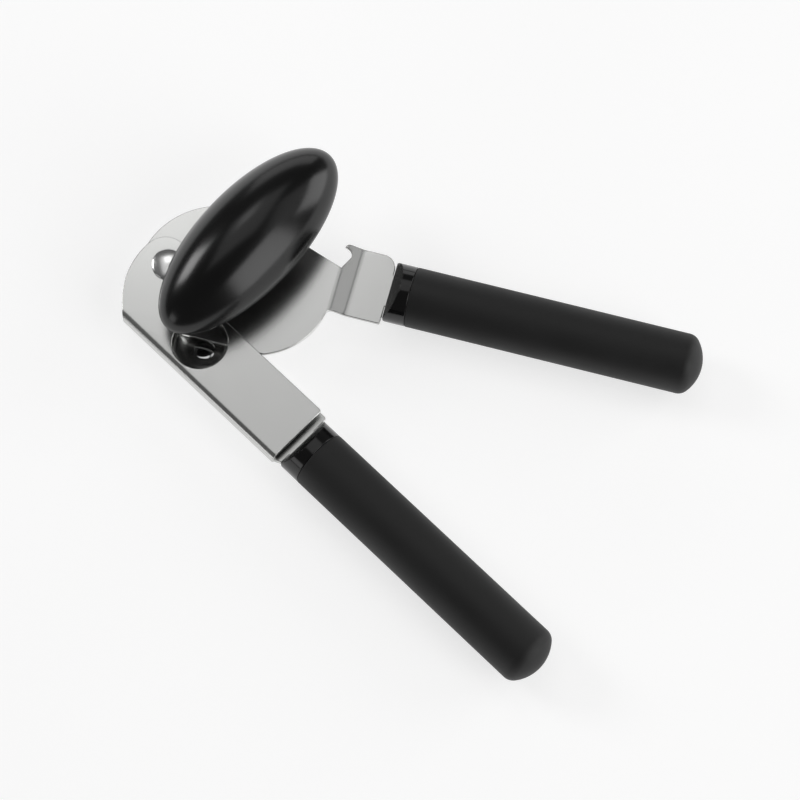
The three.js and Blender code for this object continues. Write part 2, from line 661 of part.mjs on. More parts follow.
function knobShell() {
  const outer = ellipseStack(KNOB_HALF_LENGTH, KNOB_HALF_WIDTH, [
    [0.985, KNOB_RIM_Z - 0.4],
    ...domeLevels(KNOB_HEIGHT, KNOB_RIM_Z, 8),
  ]);
  const inner = ellipseStack(KNOB_HALF_LENGTH - KNOB_WALL, KNOB_HALF_WIDTH - KNOB_WALL, [
    [1, KNOB_RIM_Z - 1],
    ...domeLevels(KNOB_HEIGHT - KNOB_WALL, KNOB_RIM_Z, 4),
  ]);
  return outer.subtract(inner);
}

function knobBase() {
  const plug = ellipseStack(KNOB_HALF_LENGTH - KNOB_WALL - 0.3, KNOB_HALF_WIDTH - KNOB_WALL - 0.3, [
    [0.98, KNOB_RIM_Z - 0.7],
    [1, KNOB_RIM_Z - 0.4],
    [0.95, KNOB_RIM_Z + KNOB_FLOOR - 0.4],
  ]);
  return plug.subtract(disc(HUB_R + FIT, 0, 40));
}

// The hub: a moulded boss with a square bore, from just above the bush into the knob.
function knobHub() {
  const half = SQUARE / 2 + FIT;
  const flare = KNOB_RIM_Z + KNOB_FLOOR + 0.3;
  return turned([
    [0, HUB_Z0],
    [HUB_R - 0.6, HUB_Z0],
    [HUB_R, HUB_Z0 + 0.6],
    [HUB_R, flare],
    [HUB_R + 3, flare],
    [HUB_R + 3, flare + 1.6],
    [HUB_R, flare + 1.6],
    [HUB_R, HUB_Z1],
    [0, HUB_Z1],
  ])
    .subtract(disc(SHAFT_R + FIT, 0, HUB_Z0 + 1.3))
    .subtract(box(-half, half, -half, half, 0, 60));
}

const knob = new THREE.Group();
knob.rotation.z = KNOB_ANGLE;
drive.add(knob);
add(knob, "drive_shaft", driveShaft(), "polished");
add(knob, "knob_shell", knobShell(), "satin");
add(knob, "knob_base", knobBase(), "satin");
add(knob, "knob_hub", knobHub(), "satin");

// The nut that holds the hub on the shaft, hidden in the knob.
const NUT_R = 5;
add(knob, "knob_push_nut", ring(SQUARE / Math.SQRT2 + FIT, NUT_R, HUB_Z1 + FIT, HUB_Z1 + 1.1), "hardened");

// ---------------------------------------------------------------- origin under the middle of the box
const bounds = new THREE.Box3().setFromObject(opener, true);
const middle = bounds.getCenter(new THREE.Vector3());
opener.position.set(-middle.x, -middle.y, -REST_Z);

const part = new THREE.Group();
part.add(opener);

export default part;
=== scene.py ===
import json
import math

import bmesh
import bpy
from mathutils import Matrix, Vector

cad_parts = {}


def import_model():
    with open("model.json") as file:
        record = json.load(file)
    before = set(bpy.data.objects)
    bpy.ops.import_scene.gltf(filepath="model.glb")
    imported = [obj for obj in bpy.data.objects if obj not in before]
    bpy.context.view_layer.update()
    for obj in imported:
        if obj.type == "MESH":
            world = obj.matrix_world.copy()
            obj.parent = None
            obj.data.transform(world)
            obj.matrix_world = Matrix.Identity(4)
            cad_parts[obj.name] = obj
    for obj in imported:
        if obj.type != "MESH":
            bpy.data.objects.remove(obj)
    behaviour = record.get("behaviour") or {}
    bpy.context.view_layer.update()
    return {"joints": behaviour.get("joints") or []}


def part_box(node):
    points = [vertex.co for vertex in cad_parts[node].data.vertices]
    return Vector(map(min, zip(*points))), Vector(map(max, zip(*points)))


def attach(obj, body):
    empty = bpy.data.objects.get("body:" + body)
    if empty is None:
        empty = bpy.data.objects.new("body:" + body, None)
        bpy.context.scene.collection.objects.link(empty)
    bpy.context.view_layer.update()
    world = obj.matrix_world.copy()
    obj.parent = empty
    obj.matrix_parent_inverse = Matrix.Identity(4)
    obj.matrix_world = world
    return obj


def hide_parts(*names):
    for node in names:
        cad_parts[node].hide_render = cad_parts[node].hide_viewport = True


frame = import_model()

# Looks of a butterfly can opener. Shapes are drawn in millimetres in the frame of the arm they belong
# to: X runs from the pivot to the handle, Z points to the knob's side, z = 0 is the handles' middle
# plane. The row frame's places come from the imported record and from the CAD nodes' boxes.

MM = 0.001

# ---------------------------------------------------------------- frames of the arms
HANDLE_LOW, HANDLE_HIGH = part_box("lower_handle_grip")
MID_Z = (HANDLE_LOW.z + HANDLE_HIGH.z) / 2
JOINTS = {j["name"]: j for j in frame["joints"]}


def joint_place(name):
    """A joint's axis point in the row frame, in the handles' middle plane."""
    x, y, _ = JOINTS[name]["pos_m"]
    return Vector((x, y, MID_Z))


OPEN_ANGLE = math.radians(29.3)
KNOB_ANGLE = math.radians(64.9)
SEAT_TILT = math.radians(10)
LOWER = Matrix.Translation(joint_place("arm_pivot"))
UPPER = LOWER @ Matrix.Rotation(OPEN_ANGLE, 4, "Z")
DRIVE = Matrix.Translation(joint_place("knob_turn")) @ Matrix.Rotation(OPEN_ANGLE, 4, "Z")
KNOB = DRIVE @ Matrix.Rotation(KNOB_ANGLE, 4, "Z")
CUTTER = Matrix.Translation(joint_place("cutter_turn")) @ Matrix.Rotation(-SEAT_TILT, 4, "X")

# ---------------------------------------------------------------- dimensions, in millimetres
SHEET = 1.5
HALF = SHEET / 2
GAP = 2.5  # clear space between the channel's legs
FRONT_Z = SHEET + GAP  # middle plane of the front leg
PLATE_Z = FRONT_Z / 2  # middle plane of the upper arm's plate
FOLD_R = FRONT_Z / 2  # radius of the fold, at the middle of the sheet
CHANNEL_Y0 = -24.75
CHANNEL_Y1 = -0.7
FOLD_Y = CHANNEL_Y0 + FOLD_R + HALF
LOWER_AXIS_Y = -12.65
UPPER_AXIS_Y = 11.4
FRONT_END_X = 75.8
LOWER_END_X = 77.9
UPPER_END_X = 75.9
TANG_WIDTH = 12
TANG_LENGTH = 40
TANG_HOLE_INSET = 8
TANG_HOLE_R = 2.6
SEAT = Vector((29.6, -11.6))
WINDOW = Vector((28.4, -12.2))
WINDOW_R = 9.6
RIVET_HOLE_R = 3.2
NOSE = Vector((17.6, 0.3))  # middle of the nose's arc, on both legs
NOSE_R = 28.4
SHOULDER_GAP = 0.3
FIT = 0.1
HANDLE_R = 10.5
FERRULE = 7.8
HANDLE_LENGTH = 110.2
KNOB_LENGTH = 41.7
KNOB_WIDTH = 18.1
KNOB_RIM_Z = 16
KNOB_HEIGHT = 16.5


# Sides of a full circle, by how large and how visible it is.
SMALL_ROUND = 48
ROUND = 96
LARGE_ROUND = 128


# ---------------------------------------------------------------- outlines
def arc(centre, r, a0, a1, step=3.0):
    """Points of an arc from angle a0 to a1, in degrees, turning the way the sign of a1 - a0 says."""
    count = max(2, int(abs(a1 - a0) / step) + 1)
    angles = [math.radians(a0 + (a1 - a0) * i / count) for i in range(count + 1)]
    return [Vector((centre[0] + r * math.cos(a), centre[1] + r * math.sin(a))) for a in angles]


def curve(p0, p1, p2, count=10):
    """Points of a quadratic curve from p0 to p2, pulled towards p1."""
    p0, p1, p2 = Vector(p0), Vector(p1), Vector(p2)
    ts = [i / count for i in range(count + 1)]
    return [p0 * (1 - t) ** 2 + p1 * 2 * t * (1 - t) + p2 * t * t for t in ts]


def circle(centre, r, count):
    """Points of a counterclockwise circle."""
    angles = [2 * math.pi * i / count for i in range(count)]
    return [Vector((centre[0] + r * math.cos(a), centre[1] + r * math.sin(a))) for a in angles]


def cleaned(points, least=0.05):
    """The outline without points that lie on their neighbour."""
    kept = []
    for p in points:
        p = Vector(p)
        if not kept or (p - kept[-1]).length > least:
            kept.append(p)
    if (kept[0] - kept[-1]).length < least:
        kept.pop()
    return kept


def signed_area(points):
    return sum(a.x * b.y - b.x * a.y for a, b in zip(points, points[1:] + points[:1])) / 2


def filleted(points, r, closed=False, steps=4):
    """The outline with each corner turned into a small arc, as far as its edges leave room."""
    points = [Vector(p) for p in points]
    n = len(points)
    made = []
    for i, p in enumerate(points):
        if not closed and i in (0, n - 1):
            made.append(p)
            continue
        to_a = points[i - 1] - p
        to_b = points[(i + 1) % n] - p
        la, lb = to_a.length, to_b.length
        cos = max(-1.0, min(1.0, to_a.dot(to_b) / (la * lb)))
        angle = math.acos(cos)
        if angle > math.radians(165):
            made.append(p)
            continue
        back = min(r / math.tan(angle / 2), 0.45 * la, 0.45 * lb)
        a = p + to_a * (back / la)
        b = p + to_b * (back / lb)
        made += curve(a, p, b, steps)
    return made


# ---------------------------------------------------------------- meshes
def add_loop(bm, points, z):
    """Vertices for an outline at height z, in order."""
    return [bm.verts.new((p.x, p.y, z)) for p in points]


def join_loops(bm, low, high):
    """A band of faces between two closed loops of the same count."""
    n = len(low)
    for i in range(n):
        j = (i + 1) % n
        bm.faces.new((low[i], low[j], high[j], high[i]))


def inset(points, distance):
    """A loop moved into the material by distance. Outlines run counterclockwise and holes clockwise."""
    if distance < 1e-9:
        return points
    moved = []
    n = len(points)
    for i, p in enumerate(points):
        before = (p - points[i - 1]).normalized()
        after = (points[(i + 1) % n] - p).normalized()
        n0 = Vector((before.y, -before.x))
        n1 = Vector((after.y, -after.x))
        out = (n0 + n1).normalized()
        out /= max(out.dot(n0), 0.5)
        moved.append(p - out * distance)
    return moved


def fill(bm, loops, up):
    """Closes the flat area between the loops with triangles."""
    edges = []
    for loop in loops:
        for a, b in zip(loop, loop[1:] + loop[:1]):
            edge = bm.edges.get((a, b)) or bm.edges.new((a, b))
            edges.append(edge)
    bmesh.ops.triangle_fill(bm, use_beauty=True, edges=edges, normal=(0, 0, 1 if up else -1))


def patch(bm, loop, centre, z, rings):
    """Fills a circle with rings of faces that can be pressed into a dish."""
    outer = loop
    n = len(loop)
    for k in range(rings - 1, 0, -1):
        share = k / rings
        step = (k + 1) / rings
        inner = []
        for v in outer:
            x = centre.x + (v.co.x - centre.x) * share / step
            y = centre.y + (v.co.y - centre.y) * share / step
            inner.append(bm.verts.new((x, y, z)))
        join_loops(bm, outer, inner)
        outer = inner
    middle = bm.verts.new((centre.x, centre.y, z))
    for i in range(n):
        bm.faces.new((outer[i], outer[(i + 1) % n], middle))


def sheet(outline, holes=(), half=HALF, edge=0.3, steps=4, dishes=()):
    """Sheet metal lying in XY about z = 0, with rounded edges. Each dish is (centre, radius, rings)."""
    bm = bmesh.new()
    outline = cleaned(outline)
    if signed_area(outline) < 0:
        outline.reverse()
    rims = [outline]
    for hole in holes:
        hole = cleaned(hole)
        if signed_area(hole) > 0:
            hole.reverse()
        rims.append(hole)
    section = []
    for i in range(steps + 1):
        a = i / steps * math.pi / 2
        section.append((edge * (1 - math.sin(a)), half - edge + edge * math.cos(a)))
    section += [(d, -z) for d, z in reversed(section)]
    tops, bottoms = [], []
    for rim in rims:
        loops = [add_loop(bm, inset(rim, d), z) for d, z in section]
        for high, low in zip(loops, loops[1:]):
            join_loops(bm, high, low)
        tops.append(loops[0])
        bottoms.append(loops[-1])
    for centre, r, _ in dishes:
        for z, loops in ((half, tops), (-half, bottoms)):
            loops.append(add_loop(bm, circle(centre, r, ROUND), z))
    fill(bm, tops, True)
    fill(bm, bottoms, False)
    for k, (centre, _, rings) in enumerate(dishes):
        patch(bm, tops[len(rims) + k], centre, half, rings)
        patch(bm, bottoms[len(rims) + k], centre, -half, rings)
    return bm


def cut_across(bm, axis, places):
    """Adds a line of vertices wherever the mesh crosses each place along the axis."""
    normal = Vector((0, 0, 0))
    normal[axis] = 1
    for place in places:
        geom = bm.verts[:] + bm.edges[:] + bm.faces[:]
        bmesh.ops.bisect_plane(bm, geom=geom, plane_co=normal * place, plane_no=normal, dist=1e-4)


def turned(profile, segments=ROUND, closed=False):
    """A profile of (radius, z) points turned about Z. A closed profile makes a ring."""
    bm = bmesh.new()
    loops = []
    for r, z in profile:
        if r < 1e-6:
            loops.append([bm.verts.new((0, 0, z))])
            continue
        loops.append(add_loop(bm, circle((0, 0), r, segments), z))
    pairs = list(zip(loops, loops[1:]))
    if closed:
        pairs.append((loops[-1], loops[0]))
    for low, high in pairs:
        if len(low) == 1 and len(high) == 1:
            continue
        if len(low) == 1 or len(high) == 1:
            tip = low[0] if len(low) == 1 else high[0]
            rim = high if len(low) == 1 else low
            for i in range(segments):
                bm.faces.new((rim[i], rim[(i + 1) % segments], tip))
            continue
        join_loops(bm, low, high)
    return bm


def along_x(bm):
    """Turns a body made about Z so that its axis runs along X."""
    bmesh.ops.transform(bm, matrix=Matrix.Rotation(math.pi / 2, 4, "Y"), verts=bm.verts)
    return bm


# ---------------------------------------------------------------- materials
def new_material(name, colour, metallic, roughness, **sockets):
    material = bpy.data.materials.new(name)
    material.use_nodes = True
    shader = material.node_tree.nodes["Principled BSDF"]
    shader.inputs["Base Color"].default_value = (*colour, 1)
    shader.inputs["Metallic"].default_value = metallic
    shader.inputs["Roughness"].default_value = roughness
    for key, value in sockets.items():
        shader.inputs[key.replace("_", " ")].default_value = value
    return material


def node(material, kind, **values):
    made = material.node_tree.nodes.new(kind)
    for key, value in values.items():
        made.inputs[key.replace("_", " ")].default_value = value
    return made


def link(material, source, output, target, socket):
    material.node_tree.links.new(source.outputs[output], target.inputs[socket])


def grain(material, scale, stretch, detail=3.0, turn=0.0):
    """A noise stretched along X after a turn about Z, for brushed metal; stretch 1 is even."""
    place = material.node_tree.nodes.new("ShaderNodeTexCoord")
    mapping = node(material, "ShaderNodeMapping", Scale=(1 / stretch, 1, 1), Rotation=(0, 0, -turn))
    mapping.vector_type = "POINT"
    noise = node(material, "ShaderNodeTexNoise", Scale=scale, Detail=detail, Roughness=0.6)
    link(material, place, "Object", mapping, "Vector")
    link(material, mapping, "Vector", noise, "Vector")
    return noise


def vary(material, noise, low, high, socket, start=0.3, stop=0.7):
    """Lets the noise move one number of the shader between low and high."""
    shader = material.node_tree.nodes["Principled BSDF"]
    spread = node(material, "ShaderNodeMapRange", From_Min=start, From_Max=stop, To_Min=low, To_Max=high)
    link(material, noise, "Fac", spread, "Value")
    link(material, spread, "Result", shader, socket)


def tint(material, noise, dark, light, start=0.35, stop=0.65):
    """Lets the noise move the colour between two close tones."""
    shader = material.node_tree.nodes["Principled BSDF"]
    ramp = material.node_tree.nodes.new("ShaderNodeValToRGB")
    ramp.color_ramp.elements[0].position = start
    ramp.color_ramp.elements[0].color = (*dark, 1)
    ramp.color_ramp.elements[1].position = stop
    ramp.color_ramp.elements[1].color = (*light, 1)
    link(material, noise, "Fac", ramp, "Fac")
    link(material, ramp, "Color", shader, "Base Color")


def emboss(material, noise, depth, strength=1.0):
    """Bump of a real depth, in metres."""
    shader = material.node_tree.nodes["Principled BSDF"]
    bump = node(material, "ShaderNodeBump", Strength=strength, Distance=depth)
    link(material, noise, "Fac", bump, "Height")
    link(material, bump, "Normal", shader, "Normal")


def metal(name, colour, roughness, brushed, turn=0.0):
    """Steel: fine lines along the arm, slow changes of polish, and a faint change of tone."""
    material = new_material(name, colour, 1.0, roughness)
    lines = grain(material, 2600, brushed, 2.0, turn)
    clouds = grain(material, 60, 1.5, 4.0)
    vary(material, clouds, roughness * 0.97, roughness * 1.04, "Roughness")
    tint(material, clouds, [c * 0.985 for c in colour], colour)
    emboss(material, lines, 0.000003, 0.15)
    return material


def plastic(name, colour, roughness, grain_size, depth, strength, **sockets):
    """Moulded black plastic or rubber: a fine even grain and slow changes of gloss and tone."""
    material = new_material(name, colour, 0.0, roughness, **sockets)
    pores = grain(material, 1 / grain_size, 1.0, 4.0)
    clouds = grain(material, 45, 1.0, 3.0)
    vary(material, clouds, roughness * 0.92, roughness * 1.1, "Roughness")
    tint(material, clouds, [c * 0.85 for c in colour], [c * 1.15 for c in colour])
    emboss(material, pores, depth, strength)
    return material


STAINLESS = (0.62, 0.622, 0.612)
LOWER_STEEL = metal("satin_stainless_lower", STAINLESS, 0.24, 30)
UPPER_STEEL = metal("satin_stainless_upper", STAINLESS, 0.24, 30, OPEN_ANGLE)
POLISHED = metal("polished_steel", (0.84, 0.845, 0.85), 0.09, 4)
RIVET_STEEL = metal("rivet_steel", (0.8, 0.8, 0.795), 0.2, 4)
HARDENED = metal("ground_hardened_steel", (0.66, 0.67, 0.68), 0.26, 6)
NYLON = plastic("natural_nylon", (0.74, 0.72, 0.66), 0.45, 0.0006, 0.00002, 0.3)
GLOSS = plastic("gloss_black_moulding", (0.004, 0.004, 0.004), 0.13, 0.0012, 0.00001, 0.1)
SATIN = plastic("satin_black_moulding", (0.003, 0.003, 0.003), 0.21, 0.0009, 0.00001, 0.12)
SOFT = plastic("soft_touch_black", (0.005, 0.005, 0.005), 0.6, 0.00035, 0.00003, 0.5)


# ---------------------------------------------------------------- placing a piece
def piece(name, bm, place, body, slot, material, *nodes):
    """A mesh in millimetres, put in its frame, riding on its body and standing for its CAD nodes."""
    bmesh.ops.remove_doubles(bm, verts=bm.verts, dist=1e-4)
    bmesh.ops.recalc_face_normals(bm, faces=bm.faces)
    mesh = bpy.data.meshes.new(name)
    bm.to_mesh(mesh)
    bm.free()
    mesh.transform(place @ Matrix.Scale(MM, 4))
    for face in mesh.polygons:
        face.use_smooth = True
    mesh.materials.append(material)
    made = bpy.data.objects.new(name, mesh)
    bpy.context.scene.collection.objects.link(made)
    shade = made.modifiers.new("even_shading", "WEIGHTED_NORMAL")
    shade.weight = 90
    shade.keep_sharp = True
    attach(made, body)
    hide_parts(*nodes)


# ---------------------------------------------------------------- lower arm: one folded sheet
def nose_x(y):
    """Where the nose's arc lies at this height across the arm."""
    return NOSE.x - math.sqrt(NOSE_R * NOSE_R - (y - NOSE.y) ** 2)


def leg_edge(end_x, chamfer=1.1):
    """One leg's edge from the fold at the nose, over the head and the open edge, to the end."""
    corner, corner_r = Vector((-2.4, 0.6)), 8.4
    to_corner = math.degrees(math.atan2(corner.y - NOSE.y, corner.x - NOSE.x))
    from_fold = math.degrees(math.atan2(FOLD_Y - NOSE.y, nose_x(FOLD_Y) - NOSE.x)) + 360
    points = arc(NOSE, NOSE_R, from_fold, to_corner, 2)
    points += arc(corner, corner_r, to_corner, 90, 4)
    shoulder = (6, corner.y + corner_r)
    points += curve(shoulder, (15, CHANNEL_Y1 + 4), (22, CHANNEL_Y1), 16)
    points += curve((end_x - chamfer, CHANNEL_Y1), (end_x, CHANNEL_Y1), (end_x, CHANNEL_Y1 - chamfer), 5)
    return points


FOLD_LENGTH = math.pi * FOLD_R


def mirrored(point):
    """A point of the front leg in the flat sheet, before the fold."""
    return Vector((point.x, 2 * FOLD_Y - FOLD_LENGTH - point.y))


def tang_end(end_x, axis_y):
    """The strip of sheet that sits in the handle."""
    half = TANG_WIDTH / 2
    return filleted([
        (end_x, axis_y + half),
        (end_x + TANG_LENGTH, axis_y + half),
        (end_x + TANG_LENGTH, axis_y - half),
        (end_x, axis_y - half),
    ], 0.8)


def folded(co):
    """Bends the flat sheet: the part past FOLD_Y rolls up and over, and lies above the rest."""
    x, v, w = co
    if v >= FOLD_Y:
        return Vector((x, v, w))
    angle = min((FOLD_Y - v) / FOLD_R, math.pi)
    r = FOLD_R - w
    y = FOLD_Y - r * math.sin(angle)
    z = FOLD_R - r * math.cos(angle)
    past = FOLD_Y - FOLD_LENGTH - v
    return Vector((x, y + max(past, 0), z))


DISH_R = 10.4
DISH_FLOOR_R = 5.6
DISH_DEPTH = 2.2
DISH_RINGS = 26
FOLD_STEPS = 16


def pressed(co):
    """Presses the cutter's seat into the back leg: a round dish with a tilted floor."""
    away = Vector((co.x, co.y)) - SEAT
    r = away.length
    if r >= DISH_R:
        return co
    floor = -DISH_DEPTH - away.y * math.tan(SEAT_TILT)
    t = min(1.0, (DISH_R - r) / (DISH_R - DISH_FLOOR_R))
    share = t * t * (3 - 2 * t)
    return Vector((co.x, co.y, co.z + floor * share))


def lower_sheet():
    back = leg_edge(LOWER_END_X)
    front = [mirrored(p) for p in leg_edge(FRONT_END_X)]
    low_corner = [Vector((LOWER_END_X, CHANNEL_Y0 + FOLD_R + 0.2)), Vector((FRONT_END_X, FOLD_Y - 1.6))]
    nose_fold = []
    for i in range(1, 12):
        angle = math.pi * i / 12
        y = FOLD_Y - FOLD_R * math.sin(angle)
        nose_fold.append(Vector((nose_x(y), FOLD_Y - FOLD_R * angle)))
    outline = back + tang_end(LOWER_END_X, LOWER_AXIS_Y) + low_corner
    outline += [Vector((FRONT_END_X, FOLD_Y - FOLD_LENGTH))]
    outline += list(reversed(front)) + list(reversed(nose_fold))
    holes = [
        circle(mirrored(WINDOW), WINDOW_R, ROUND),
        circle((0, 0), RIVET_HOLE_R, SMALL_ROUND),
        circle(mirrored(Vector((0, 0))), RIVET_HOLE_R, SMALL_ROUND),
        circle((LOWER_END_X + TANG_LENGTH - TANG_HOLE_INSET, LOWER_AXIS_Y), TANG_HOLE_R, SMALL_ROUND),
    ]
    bm = sheet(outline, holes, dishes=[(SEAT, DISH_R, DISH_RINGS)])
    cut_across(bm, 1, [FOLD_Y - FOLD_LENGTH * i / FOLD_STEPS for i in range(FOLD_STEPS + 1)])
    for v in bm.verts:
        v.co = folded(pressed(v.co))
    return bm


piece("lower_arm_sheet", lower_sheet(), LOWER, "lower_arm", "sheet_steel", LOWER_STEEL, "lower_arm_channel")


# ---------------------------------------------------------------- pivot rivet and washers
def dome(r, height, z, steps=14):
    """Points of a low dome from its rim to its crown."""
    angles = [i / steps * math.pi / 2 for i in range(steps + 1)]
    points = [(r * math.cos(a), z + height * math.sin(a)) for a in angles]
    points[-1] = (0, z + height)
    return points


def ring_profile(inner, outer, z0, z1, edge=0.15):
    return filleted([(inner, z0), (outer, z0), (outer, z1), (inner, z1)], edge, closed=True, steps=3)


FRONT_TOP = FRONT_Z + HALF
RIVET_R = 3.1
RIVET_HEAD_R = 5.6


def rivet_crown(r, wall, rise, z, steps=14):
    """A low wall with a rounded edge and a shallow ball cap on it, rim first."""
    cap_r = (r * r + rise * rise) / (2 * rise)
    points = [(r, z + wall * 0.6), (r - 0.1, z + wall * 0.85), (r - 0.3, z + wall)]
    for i in range(1, steps + 1):
        x = (r - 0.3) * (1 - i / steps)
        rise_here = math.sqrt(cap_r * cap_r - x * x) - math.sqrt(cap_r * cap_r - (r - 0.3) ** 2)
        points.append((x, z + wall + rise_here))
    return points


def pivot_rivet():
    head_z = FRONT_TOP + FIT / 2
    tail_z = -HALF - FIT / 2
    lower = filleted([
        (0, tail_z - 1.1),
        (RIVET_HEAD_R - 1.4, tail_z - 1.1),
        (RIVET_HEAD_R - 0.6, tail_z - 0.6),
        (RIVET_HEAD_R - 0.6, tail_z),
        (RIVET_R, tail_z),
        (RIVET_R, head_z),
        (RIVET_HEAD_R, head_z),
        (RIVET_HEAD_R, head_z + 0.2),
    ], 0.2)
    return turned([tuple(p) for p in lower] + rivet_crown(RIVET_HEAD_R, 0.75, 0.85, head_z + 0.2))


piece("pivot_rivet_body", pivot_rivet(), LOWER, "lower_arm", "polished_steel", RIVET_STEEL, "pivot_rivet")
for side, z0, z1 in (("back", HALF, PLATE_Z - HALF), ("front", PLATE_Z + HALF, FRONT_Z - HALF)):
    profile = ring_profile(RIVET_R + FIT, 7.4, z0 + FIT / 2, z1 - FIT / 2)
    name = "pivot_washer_" + side
    piece(name + "_ring", turned(profile, closed=True), LOWER, "lower_arm", "nylon", NYLON, name)

# ---------------------------------------------------------------- cutting wheel
SEAT_UNDER = -DISH_DEPTH - SHEET
CUTTER_WASHER = 0.6  # thickness
AXLE_R = 2.5
CUTTER_R = 11.4
CUTTER_HUB_R = 6.2
CUTTER_HUB_Z1 = SEAT_UNDER - CUTTER_WASHER - 3 * FIT
CUTTER_HUB_Z0 = CUTTER_HUB_Z1 - 2.6
CUTTER_BORE_R = AXLE_R + 0.9 + 2 * FIT


def cutting_wheel():
    edge_z = CUTTER_HUB_Z1 - 1.1
    profile = filleted([
        (CUTTER_BORE_R, CUTTER_HUB_Z0),
        (CUTTER_HUB_R - 0.4, CUTTER_HUB_Z0),
        (CUTTER_HUB_R, CUTTER_HUB_Z0 + 0.4),
        (CUTTER_HUB_R, edge_z - 0.7),
        (CUTTER_R - 2.6, edge_z - 0.7),
        (CUTTER_R, edge_z - 0.05),
        (CUTTER_R, edge_z + 0.05),
        (CUTTER_R - 1.6, edge_z + 0.7),
        (CUTTER_HUB_R, CUTTER_HUB_Z1),
        (CUTTER_BORE_R, CUTTER_HUB_Z1),
    ], 0.12, closed=True, steps=3)
    return turned(profile, LARGE_ROUND, True)


def cutter_bush():
    z0 = CUTTER_HUB_Z0 - 2 * FIT
    top = SEAT_UNDER - CUTTER_WASHER - 2 * FIT
    inner, outer = AXLE_R + FIT, AXLE_R + 0.9 + FIT
    profile = filleted([
        (inner, z0 - 0.7),
        (CUTTER_HUB_R - 0.6, z0 - 0.7),
        (CUTTER_HUB_R - 0.6, z0),
        (outer, z0),
        (outer, top),
        (inner, top),
    ], 0.15, closed=True, steps=3)
    return turned(profile, closed=True)


def cutter_axle():
    tail_z = CUTTER_HUB_Z0 - 0.9 - 2 * FIT
    head_z = -DISH_DEPTH + FIT
    lower = filleted([
        (0, tail_z - 1.3),
        (AXLE_R + 0.9, tail_z - 1.3),
        (AXLE_R + 1.6, tail_z - 0.5),
        (AXLE_R + 1.6, tail_z),
        (AXLE_R, tail_z),
        (AXLE_R, head_z),
        (AXLE_R + 1.7, head_z),
        (AXLE_R + 1.7, head_z + 0.2),
    ], 0.2)
    return turned([tuple(p) for p in lower] + dome(AXLE_R + 1.7, 0.9, head_z + 0.2, 10))


washer = ring_profile(AXLE_R + FIT, DISH_FLOOR_R, SEAT_UNDER - CUTTER_WASHER - FIT, SEAT_UNDER - FIT)
piece("cutter_axle_body", cutter_axle(), CUTTER, "lower_arm", "polished_steel", POLISHED, "cutter_axle")
washer_ring = turned(washer, closed=True)
piece("cutter_washer_ring", washer_ring, CUTTER, "lower_arm", "hardened_steel", HARDENED, "cutter_washer")
piece("cutter_bush_body", cutter_bush(), CUTTER, "lower_arm", "hardened_steel", HARDENED, "cutter_bush")
piece("cutting_wheel_blade", cutting_wheel(), CUTTER, "cutter", "hardened_steel", HARDENED, "cutting_wheel")


# ---------------------------------------------------------------- upper arm: one stepped plate
JOGGLE_X0, JOGGLE_X1 = 58.0, 63.5
BEND_R = 1.6  # half length of each rounded bend, along the arm


def tang_reversed(end_x, axis_y):
    """The tang's strip, drawn from its low side to its high side."""
    return [Vector((p.x, 2 * axis_y - p.y)) for p in tang_end(end_x, axis_y)]


def plate_edge():
    """The upper plate's edge: heel, tang, tab, hook, neck and nose, counterclockwise."""
    nose, nose_r = Vector((17.4, -0.7)), 28
    heel, heel_r = Vector((31.9, 1.4)), 25.6
    straight_y, edge_y, fillet = -22.6, -1.2, 2.2
    neck = Vector((57.9, 14.9))
    top_y, corner_r = 24.1, 5
    nose_start = 180 - math.degrees(math.asin((straight_y - nose.y) / nose_r))
    heel_start = math.degrees(math.asin((straight_y - heel.y) / heel_r))
    heel_end = math.degrees(math.asin((edge_y - fillet - heel.y) / heel_r))
    points = arc(heel, heel_r, heel_start, heel_end, 2)
    corner = points[-1]
    points += curve(corner, (corner.x + 0.4, edge_y), (corner.x + fillet, edge_y), 8)
    points += curve((UPPER_END_X - 0.7, edge_y), (UPPER_END_X, edge_y), (UPPER_END_X, edge_y + 0.7), 4)
    points += tang_reversed(UPPER_END_X, UPPER_AXIS_Y)
    points += arc((UPPER_END_X - corner_r, top_y - corner_r), corner_r, 0, 90, 6)
    points += [Vector((neck.x + 1.6, top_y))]
    tip = (neck.x - 0.6, top_y - 1.6)
    points += curve((neck.x + 1.6, top_y), (neck.x - 0.4, top_y), tip, 6)
    points += curve(tip, (neck.x + 2.6, top_y - 2.2), (neck.x + 2.2, top_y - 4.6), 8)
    points += [neck]
    points += arc(nose, nose_r, 70, nose_start, 2)
    return points


def joggled(co):
    """Steps the sheet down from the plate's plane to the handle's middle plane, with soft bends."""
    run = JOGGLE_X1 - JOGGLE_X0
    drop = 0.0
    samples = 9
    for i in range(samples):
        x = co.x + BEND_R * (2 * i / (samples - 1) - 1) * 0.5
        drop += PLATE_Z * max(0.0, min(1.0, (x - JOGGLE_X0) / run))
    return Vector((co.x, co.y, co.z + PLATE_Z - drop / samples))


BUSH_R = 5.2
SHAFT = Vector((26.8, 11.4))


def upper_sheet():
    holes = [
        circle((0, 0), RIVET_R + 2 * FIT, SMALL_ROUND),
        circle(SHAFT, BUSH_R + FIT, 64),
        circle((UPPER_END_X + TANG_LENGTH - TANG_HOLE_INSET, UPPER_AXIS_Y), TANG_HOLE_R, SMALL_ROUND),
    ]
    bm = sheet(plate_edge(), holes)
    for centre in (JOGGLE_X0, JOGGLE_X1):
        cut_across(bm, 0, [centre + BEND_R * (i / 6 - 1) for i in range(13)])
    for v in bm.verts:
        v.co = joggled(v.co)
    return bm


piece("upper_arm_sheet", upper_sheet(), UPPER, "upper_arm", "sheet_steel", UPPER_STEEL, "upper_arm_plate")


# ---------------------------------------------------------------- handles
FACET_RISE = 2.2
FACET_Z = HALF + 0.5


